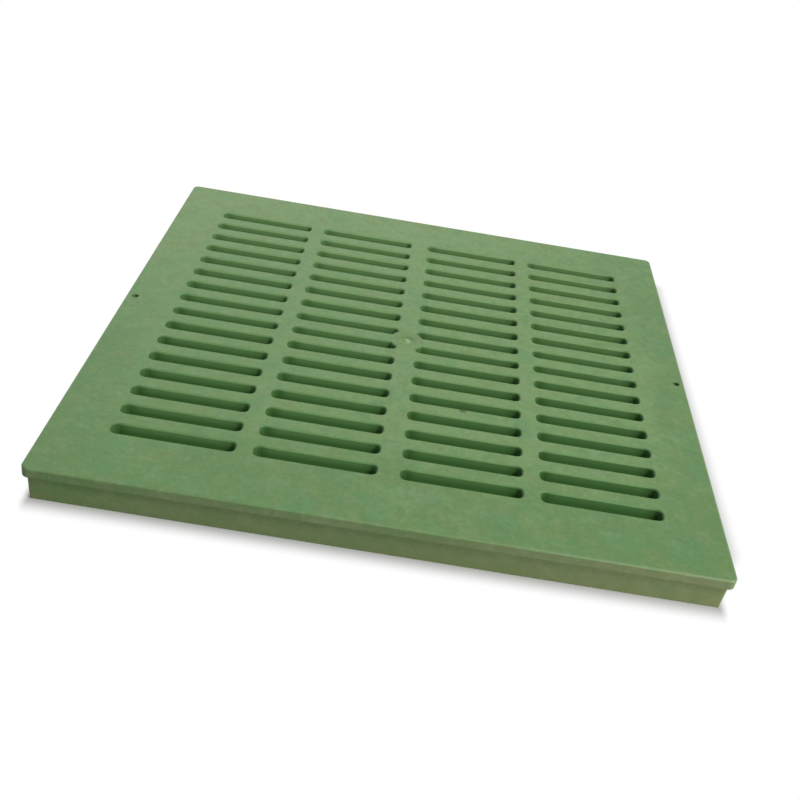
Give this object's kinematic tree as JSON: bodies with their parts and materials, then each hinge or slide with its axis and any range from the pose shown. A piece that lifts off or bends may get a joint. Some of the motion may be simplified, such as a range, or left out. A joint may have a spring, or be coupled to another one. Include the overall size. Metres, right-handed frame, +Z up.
{
  "type": "gully grate",
  "caption": "Square plastic gully grate with rows of round-cornered slots, a plain rim that lies in a frame, a ribbed underside and a screw hole at two opposite edges.",
  "frame": {"origin": "under the middle of the grate, on the plane that its skirt and ribs stand on", "axes": "+Z up through the walking face, +X along the slots towards the right screw hole, +Y across the slots away from the viewer"},
  "size_m": [0.45, 0.45, 0.0268],
  "materials": {
    "green_plastic": "matte"
  },
  "bodies": {
    "root": {"grate": "green_plastic"}
  },
  "joints": []
}
